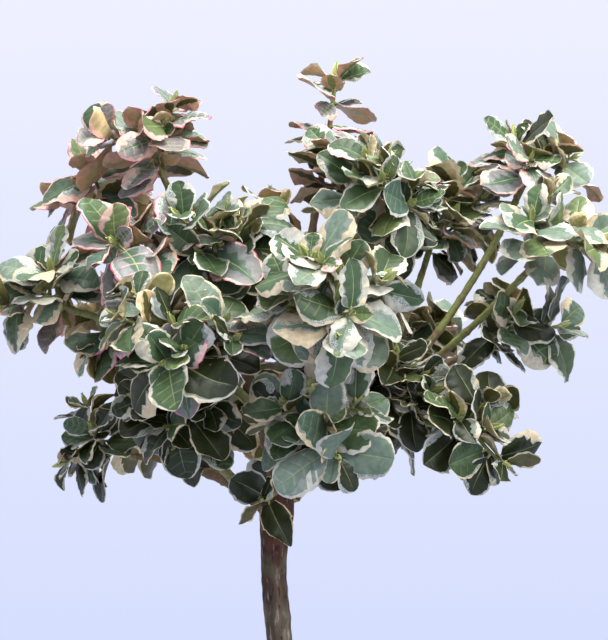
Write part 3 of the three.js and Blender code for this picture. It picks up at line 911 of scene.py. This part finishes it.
def leaf_finish(slot):
    """A leaf's semi-matt skin: its colour drifts over the crown and is finely mottled."""
    leaf = Finish(f"leaf_{slot}", 0.42, 0.35)
    colour = np.array(linear(*LEAF_COLOURS[slot]))
    fine = leaf.ramp(leaf.noise(330, 4), ((0.34, colour * 0.68), (0.66, colour * 1.26)))
    warm = colour * (1.16, 1.04, 0.82)
    drift = leaf.ramp(leaf.noise(34, 1), ((0.35, warm), (0.65, colour * 0.9)))
    tint = leaf.blend(0.5, fine, drift)
    if slot == "frost":
        white = (*linear(*FROST_WHITE), 1)
        tint = leaf.laid_over(tint, white, leaf.noise(2100, 2), (0.42, 0), (0.6, 0.8))
    return leaf.done(tint, leaf.noise(260), 0.35, 0.0006)


def bark_finish():
    """Old bark: red-brown and dark round the graft, greyer below, with moss, pale streaks and dark cracks."""
    bark = Finish("bark", 0.88, 0.25)
    broad = bark.noise(120, 4, (1, 1, 0.5))
    greys = ((0.3, linear(52, 44, 36)), (0.5, linear(80, 71, 59)), (0.7, linear(108, 96, 80)))
    red = bark.tones(broad, (46, 27, 22), (86, 55, 44))
    graft = SOIL_TOP + TRUNK.length
    climb = bark.ranged(bark.height(), graft - 0.09, graft - 0.055)
    tint = bark.blend(climb, bark.ramp(broad, greys), red)
    moss = bark.tones(broad, (72, 72, 52), (96, 96, 74))
    tint = bark.laid_over(tint, moss, bark.noise(75, 3, (1, 1, 0.6)), (0.52, 0), (0.62, 0.6))
    pale = bark.tones(broad, (134, 124, 108), (156, 144, 128))
    tint = bark.laid_over(tint, pale, bark.noise(330, 4, (1, 1, 0.2)), (0.58, 0), (0.68, 0.75))
    crack = bark.noise(420, 6, (1, 1, 0.3))
    dark = bark.tones(broad, (30, 23, 19), (42, 32, 26))
    tint = bark.laid_over(tint, dark, crack, (0.34, 0.85), (0.42, 0))
    return bark.done(tint, crack, 0.7, 0.0008)


def twig_finish():
    """Green young wood with brown corky patches."""
    twig = Finish("green_twig", 0.6, 0.35)
    fine = twig.noise(500)
    green = twig.tones(fine, (112, 118, 60), (142, 146, 86))
    brown = twig.tones(fine, (96, 78, 52), (136, 118, 84))
    tint = twig.laid_over(green, brown, twig.noise(110, 5, (1, 1, 0.6)), (0.48, 0), (0.62, 0.85))
    return twig.done(tint, fine, 0.25)


def clay_finish():
    """Fired clay: warm mottling, small dark specks, a faint pale lime bloom and turning lines."""
    clay = Finish("clay", 0.9, 0.3)
    broad = clay.noise(9, 5)
    tint = clay.tones(broad, (168, 96, 68), (184, 111, 80), 0.36, 0.64)
    speck = clay.noise(700, 2)
    dark = clay.tones(broad, (122, 68, 48), (136, 78, 56))
    tint = clay.laid_over(tint, dark, speck, (0.3, 0.8), (0.36, 0))
    bloom = clay.noise(11, 10, (1, 1, 0.7))
    pale = clay.tones(broad, (204, 158, 134), (212, 176, 156))
    tint = clay.laid_over(tint, pale, bloom, (0.5, 0), (0.74, 0.42))
    turned_lines = clay.noise(60, 3, (0.12, 0.12, 8))
    return clay.done(tint, clay.blend(speck, turned_lines, bloom), 0.5, 0.0008)


def floor_finish():
    """A pale matt floor, paler far out, where the lamps don't reach."""
    floor = Finish("floor", 0.9)
    away = floor.node("VectorMath", "Value", {0: floor.place()}, operation="LENGTH")
    stops = ((0.0, linear(160, 165, 178)), (0.4, linear(164, 170, 188)), (1.0, linear(186, 193, 218)))
    return floor.done(floor.ramp(floor.ranged(away, 0.5, FLOOR_RADIUS), stops))


# Pieces
def ride(piece, slot, *replaced):
    """Puts a piece on the part's body, in place of the solids that are named; the slot is not used."""
    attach(piece, "root")
    if replaced:
        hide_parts(*replaced)


# The furrows' stretch along a limb and what counts as their bottom, and the bumps' fineness and height
FURROW = Namespace(stretch=0.14, bottom=0.7)
BUMP = Namespace(grain=170, height=0.9)


def bark_relief(depth, grain):
    """Furrows along a limb, deeper where they meet, and small bumps."""

    def relief(point):
        x, y, z = point * grain
        furrow = abs(noise.noise(Vector((x, y, z * FURROW.stretch))))
        bumps = noise.noise(Vector(point) * BUMP.grain)
        return depth * (furrow * 2 - FURROW.bottom) + depth * BUMP.height * bumps

    return relief


# How deep the furrows are, how close they lie, and the mesh round a limb and along it
TRUNK_SKIN = Namespace(depth=0.00055, grain=240, sides=56, rings=360)
BOUGH_SKIN = Namespace(depth=0.00028, grain=420, sides=14, ring=0.0018)


def make_trunk(trunk, material):
    heap = Heap()
    relief = bark_relief(TRUNK_SKIN.depth, TRUNK_SKIN.grain)
    heap.add(*tube(trunk.curve, trunk_radius, TRUNK_SKIN.sides, TRUNK_SKIN.rings, relief=relief))
    ride(heap.piece("trunk_bark", [material]), "bark", "trunk")


# Rings of old leaf nodes along the boughs
NODE = Namespace(step=0.024, shift=0.008, reach=0.0016, swell=0.2)
COLLAR = Namespace(swell=0.45, reach=0.009)
# Boughs thicker than this at a third of their length are brown, the others green
BROWN_FROM = 0.0031


def collared(limb):
    """The bough's radius, swollen where it leaves its parent and at its old leaf nodes."""
    length = limb.curve.length()

    def radius(share):
        along = share * length
        node = bell(((along + NODE.shift) % NODE.step - NODE.step / 2) / NODE.reach)
        swell = 1 + COLLAR.swell * exp(-along / COLLAR.reach) + NODE.swell * node
        return limb.radius(share) * swell

    return radius


def make_boughs(limbs, materials):
    heap = Heap()
    relief = bark_relief(BOUGH_SKIN.depth, BOUGH_SKIN.grain)
    for bough in BOUGHS:
        limb = limbs[bough.name]
        rings = max(12, round(limb.curve.length() / BOUGH_SKIN.ring))
        slot = 0 if limb.radius(0.3) > BROWN_FROM else 1
        heap.add(*tube(limb.curve, collared(limb), BOUGH_SKIN.sides, rings, slot, relief))
    ride(heap.piece("boughs", materials), "young_bark", *(f"bough_{bough.name}" for bough in BOUGHS))


def turn_on_axis(outline, sides, wobble):
    """The skin of an outline turned about the Z axis, from one point on the axis to another."""
    points = [(0.0, 0.0, outline[0][1]), (0.0, 0.0, outline[-1][1])]
    for radius, z in outline[1:-1]:
        for side in range(sides):
            angle = 2 * pi * side / sides
            out = Vector((cos(angle), sin(angle), 0))
            reach = radius + wobble * noise.noise(out * WOBBLE.round + Vector((0, 0, z * WOBBLE.up)))
            points.append((out.x * reach, out.y * reach, z))
    faces = []
    last = len(points) - sides
    for side in range(sides):
        beside = (side + 1) % sides
        faces += [(0, 2 + beside, 2 + side), (1, last + side, last + beside)]
        faces += [ring_face(low, side, sides) for low in range(2, last, sides)]
    return points, faces


def drilled(piece, centres, radius, depth):
    """Cuts round holes up through a piece's floor."""
    for x, y in centres:
        bpy.ops.mesh.primitive_cylinder_add(vertices=40, radius=radius, depth=depth, location=(x, y, 0))
        drill = bpy.context.object
        cut = piece.modifiers.new("drain", "BOOLEAN")
        cut.operation = "DIFFERENCE"
        cut.object = drill
        bpy.context.view_layer.objects.active = piece
        bpy.ops.object.modifier_apply(modifier=cut.name)
        bpy.data.objects.remove(drill)


def pot_wall(z):
    """The outer radius of the pot's wall at a height."""
    return POT.foot + (POT.top - POT.foot) / POT.height * z


# Radii of the points of the pot's flat base, from the axis out, inside and outside
FLAT_RINGS = (0, 0.03, 0.06)
# The pot's mesh round it, and up its wall, its band, its lip and its inside
POT_MESH = Namespace(sides=144, wall=24, band=6, lip=9, inside=14)
# How far the turned wall wobbles, and how quickly round the pot and up it
WOBBLE = Namespace(reach=0.0004, round=2, up=30)


def make_pot(material):
    """A turned clay pot with a rim band and drain holes."""
    edge, step, wall = POT.edge, POT.rim_step, POT.wall
    band = POT.height - POT.rim_height
    outline = [(radius, 0) for radius in (*FLAT_RINGS, POT.foot - edge)] + [(POT.foot, edge)]
    outline += [(pot_wall(z), z) for z in np.linspace(0.012, band - 0.004, POT_MESH.wall)]
    outline += [(pot_wall(band) + 0.0006, band - 0.001), (pot_wall(band) + step * 0.8, band)]
    outline += [(pot_wall(band) + step, band + edge)]
    outline += [(pot_wall(z) + step, z) for z in np.linspace(band + 0.006, POT.height - 0.007, POT_MESH.band)]
    middle = pot_wall(POT.height) + (step - wall) / 2
    half = (step + wall) / 2
    for angle in np.linspace(0, pi, POT_MESH.lip):
        outline.append((middle + half * cos(angle), POT.height + edge * 1.6 * (sin(angle) - 1)))
    outline += [(pot_wall(z) - wall, z) for z in np.linspace(POT.height - 0.009, POT.floor, POT_MESH.inside)]
    outline += [(radius, POT.floor) for radius in FLAT_RINGS[::-1]]
    heap = Heap()
    heap.add(*turn_on_axis(outline, POT_MESH.sides, WOBBLE.reach))
    piece = heap.piece("clay_pot", [material], sharp=50)
    turns = [pi / 2 + 2 * pi * k / POT.drains for k in range(POT.drains)]
    centres = [(POT.drain_ring * cos(turn), POT.drain_ring * sin(turn)) for turn in turns]
    drilled(piece, centres, POT.drain_radius, POT.drill)
    ride(piece, "clay", "pot")


def lump_shape():
    """A ball of eighty faces, to be squeezed into crumbs."""
    bpy.ops.mesh.primitive_ico_sphere_add(subdivisions=2, radius=1)
    ball = bpy.context.object
    points = np.array([point.co for point in ball.data.vertices])
    faces = [tuple(face.vertices) for face in ball.data.polygons]
    bpy.data.objects.remove(ball)
    return points, faces


BED = Namespace(
    brim_gap=0.0006, foot_gap=0.001, under_top=0.0022, inner=0.004, rings=44, sides=120, crumbs_to=0.97,
    crumb_up=0.25, clear_of_trunk=0.014,
)
# The compost's lumps, as pairs of height and fineness
LUMPS = ((0.0035, 45), (0.0022, 160), (0.0012, 420))
# What lies on the compost: how often, how large, how stretched, and whether it lies down
Crumb = namedtuple("Crumb", "often sizes stretch lies")
CRUMBS = (
    Crumb(0.72, (0.0009, 0.0026), (1, 1, 0.7), False),
    Crumb(0.2, (0.0009, 0.0026), (2.6, 1.1, 0.45), True),
    Crumb(0.08, (0.0007, 0.0015), (1, 1, 0.7), False),
)
CRUMB_COUNT = 520
CRUMB_ROUGHNESS = 0.22
CHIP_TIP = 0.12


def make_compost(materials, chance):
    """Lumpy compost level under the trunk's foot, with crumbs, bark chips and a little white grit."""
    brim = pot_wall(SOIL_TOP) - POT.wall - BED.brim_gap
    level = SOIL_TOP - BED.under_top
    foot = pot_wall(POT.floor) - POT.wall - BED.foot_gap
    outline = [(0, level)] + [(radius, level) for radius in np.linspace(BED.inner, brim, BED.rings)]
    outline += [(foot, POT.floor + GAP), (0, POT.floor + GAP)]
    points, faces = turn_on_axis(outline, BED.sides, 0)
    bumpy = []
    for x, y, z in points:
        if z > POT.floor * 2:
            z += sum(height * noise.noise(Vector((x, y, 0)) * fineness) for height, fineness in LUMPS)
        bumpy.append((x, y, z))
    heap = Heap()
    heap.add(bumpy, [face[::-1] for face in faces])
    ball, ball_faces = lump_shape()
    for _ in range(CRUMB_COUNT):
        radius = brim * sqrt(chance.random()) * BED.crumbs_to
        angle = chance.uniform(0, 2 * pi)
        if radius < BED.clear_of_trunk:
            continue
        kind = chance.choice(len(CRUMBS), p=[crumb.often for crumb in CRUMBS])
        crumb = CRUMBS[kind]
        size = chance.uniform(*crumb.sizes)
        spin = chance.normal(size=(3, 3))
        spin = flat_spin(chance) if crumb.lies else np.linalg.qr(spin)[0]
        rough = ball * (1 + CRUMB_ROUGHNESS * chance.normal(size=(len(ball), 1)))
        spot = np.array((radius * cos(angle), radius * sin(angle), level + size * BED.crumb_up))
        heap.add(rough * size * np.array(crumb.stretch) @ spin + spot, ball_faces, kind)
    ride(heap.piece("compost_bed", materials, sharp=40), "compost", "compost")


def flat_spin(chance):
    """A turn about the Z axis with a slight tip, for chips that lie down."""
    angle = chance.uniform(0, 2 * pi)
    flat = np.array(((cos(angle), sin(angle), 0), (-sin(angle), cos(angle), 0), (0, 0, 1)))
    return flat + chance.normal(size=(3, 3)) * CHIP_TIP


def limb_tree(limbs, shoots):
    """Everything woody as one simple skin, for leaves to keep clear of."""
    heap = Heap()
    for limb in limbs.values():
        heap.add(*tube(limb.curve, limb.radius, 5, 14, closed=False))
    for shoot in shoots:
        heap.add(*tube(shoot.curve, shoot.radius, 3, 5, closed=False))
    return BVHTree.FromPolygons(heap.points, heap.faces)


def grow(limbs, fork):
    """All shoots and leaves of the crown: the part's own first, then the finer ones."""
    sprays = []
    shoots = []
    chance = np.random.default_rng(SEED)
    for index, bough in enumerate(BOUGHS):
        mass = limbs[bough.name]
        stream = seeded(SEED + index)
        own = plan_shoots(mass, fork, stream)
        growth = [(shoot, *leaves_on(shoot, stream)) for shoot in own]
        finer = fine_shoots(mass, own, chance)
        sprays.append((mass, growth, finer))
        shoots += own + finer
    crown = Crown(limb_tree(limbs, shoots))
    for mass, growth, _ in sprays:
        for shoot, leaves, _ in growth:
            crown.place(leaves, shoot, mass, chance)
    for mass, growth, finer in sprays:
        for order, (shoot, _, turn) in enumerate(growth):
            nodes = SIDE_FINER_NODES if order else HABITS[mass.bough.habit].more_nodes
            crown.place(fine_leaves(shoot, nodes, turn, chance), shoot, mass, chance)
        for shoot in finer:
            leaves = fine_leaves(shoot, OWN_NODES, chance.uniform(0, pi), chance)
            crown.place(leaves, shoot, mass, chance)
    return shoots, crown


# A leaf's stalk: its radius at both ends, its sag, and how far it runs into the blade's rib
STALK = Namespace(thick=0.0011, thin=0.00065, sag=0.0004, overlap=0.03)
TWIG_SKIN = Namespace(sides=8, ring=0.004)


def make_twigs(shoots, crown, materials):
    heap = Heap()
    for shoot in shoots:
        rings = max(6, round(shoot.curve.length() / TWIG_SKIN.ring))
        heap.add(*tube(shoot.curve, shoot.radius, TWIG_SKIN.sides, rings))
    stalk_radius = taper(STALK.thick, STALK.thin)
    for leaf, _, _ in crown.leaves:
        end = leaf.root + leaf.along * leaf.length * (PETIOLE + STALK.overlap)
        sag = leaf.root + leaf.along * leaf.length * PETIOLE * 0.5 - leaf.face * STALK.sag
        heap.add(*tube(Bend(leaf.root, sag, end), stalk_radius, 4, 2, 1))
    ride(heap.piece("twigs", materials), "young_bark")


# A leaf below this share of its mass's size, measured outwards from the mass's middle, gets painted
# shade: less cream and more often the dark old green, which stands partly for older leaves and partly
# for the shade deep in the crown, unless its look's chances of pale and pink add up to what it keeps
SHADE = Namespace(below=-0.22, cream=0.4, old=0.75, keeps=0.7)


def look_of(leaf, mass, shoot):
    """How a leaf is coloured: as its spray is, but plainer and darker deep inside the crown, as painted
    shade.
    """
    look = mass.bough
    deep = np.dot(leaf.root - mass.middle, shoot.outward) < SHADE.below * mass.bough.size
    # Painted shade: fewer cream margins and more of the dark old green deep inside the crown
    if deep and look.pale + look.pink < SHADE.keeps:
        look = look._replace(cream=look.cream * SHADE.cream, young=0, old=max(look.old, SHADE.old), pale=0)
    return look


def make_leaves(crown, materials):
    """The leaves as one piece for each group of masses; each leaf has a stream of numbers of its own."""
    for group in GROUPS:
        heap = Heap()
        for index, (leaf, mass, shoot) in enumerate(crown.leaves):
            if mass.bough.group == group:
                points, slots = blade(leaf, look_of(leaf, mass, shoot), np.random.default_rng((SEED, index)))
                heap.add(points, BLADE_FACES, slots)
        nodes = [f"foliage_{bough.name}" for bough in BOUGHS if bough.group == group]
        ride(heap.piece(f"leaves_{group}", materials, sharp=70), "foliage", *nodes)


def make_buds(shoots, material, chance):
    heap = Heap()
    for shoot in shoots:
        bud(shoot, chance, heap)
    ride(heap.piece("buds", [material], sharp=80), "foliage")


# Studio
FLOOR_RADIUS = 3.2
CROWN_MIDDLE = (0, 0, 0.86)
WARM = (1, 0.99, 0.97)
Lamp = namedtuple("Lamp", "place size power colour")
LAMPS = {
    "top": Lamp((0.3, -0.4, 2.3), 1.2, 44, WARM),
    "key": Lamp((1.5, -1.7, 2.1), 0.9, 29, WARM),
    "back": Lamp((0.5, 1.6, 1.7), 1.0, 10, (1, 1, 1)),
}
CAMERA = Namespace(place=(0.0093, -1.3, 0.852), sensor=36, lens=117.9)


def make_floor():
    bpy.ops.mesh.primitive_circle_add(
        vertices=96, radius=FLOOR_RADIUS, fill_type="NGON", location=(0, 0, -0.0005)
    )
    floor = bpy.context.object
    floor.name = "floor"
    floor.data.materials.append(floor_finish())


def make_lamp(name, lamp):
    """A soft round lamp, aimed at the crown."""
    light = bpy.data.lights.new(name, "AREA")
    light.shape = "DISK"
    light.size = lamp.size
    light.energy = lamp.power
    light.color = lamp.colour
    stand = bpy.data.objects.new(name, light)
    stand.location = lamp.place
    aim = Vector(CROWN_MIDDLE) - Vector(lamp.place)
    stand.rotation_euler = aim.to_track_quat("-Z", "Y").to_euler()
    bpy.context.scene.collection.objects.link(stand)


def make_world():
    """A pale sky, a little bluer low down, and brighter overhead than beside the plant."""
    world = bpy.data.worlds.new("studio")
    bpy.context.scene.world = world
    world.use_nodes = True
    sky = Shading(world.node_tree)
    background = sky.nodes["Background"].inputs
    height = sky.height("Generated")
    tint = sky.tones(sky.ranged(height, -0.16, 0.16), (213, 222, 254), (239, 241, 255), 0, 1)
    sky.links.new(tint, background["Color"])
    sky.links.new(sky.ranged(height, 0.18, 1.0, 1.0, 1.5), background["Strength"])


def make_studio():
    bpy.context.scene.view_settings.view_transform = "Standard"
    make_world()
    for name, lamp in LAMPS.items():
        make_lamp(name, lamp)
    make_floor()


def make_camera():
    camera = bpy.data.cameras.new("camera")
    camera.sensor_fit = "VERTICAL"
    camera.sensor_height = CAMERA.sensor
    camera.lens = CAMERA.lens
    view = bpy.data.objects.new("camera", camera)
    view.location = CAMERA.place
    view.rotation_euler = (radians(90), 0, 0)
    bpy.context.scene.collection.objects.link(view)
    bpy.context.scene.camera = view


def main():
    chance = np.random.default_rng(SEED + 1)
    limbs, fork = plan_limbs()
    shoots, crown = grow(limbs, fork)
    young = mottled("young_bark", (112, 92, 66), 0.75, 0.35, 500, 0.5, (1, 1, 0.4), 0.3)
    green = twig_finish()
    stalk = mottled("stalk", (160, 164, 108), 0.5, 0.1, 500, 0.1)
    make_trunk(limbs["trunk"], bark_finish())
    make_boughs(limbs, [young, green])
    make_twigs(shoots, crown, [green, stalk])
    make_leaves(crown, [leaf_finish(name) for name in LEAF_COLOURS])
    make_buds(shoots, mottled("bud", (180, 186, 120), 0.45, 0.1, 400, 0.1), chance)
    make_pot(clay_finish())
    earth = mottled("compost", (58, 44, 35), 1.0, 0.45, 500, 0.9)
    chip = mottled("chip", (92, 66, 47), 0.9, 0.35, 500, 0.6)
    grit = mottled("grit", (206, 202, 190), 0.9, 0.1, 900, 0.3)
    make_compost([earth, chip, grit], chance)
    make_studio()
    make_camera()


main()
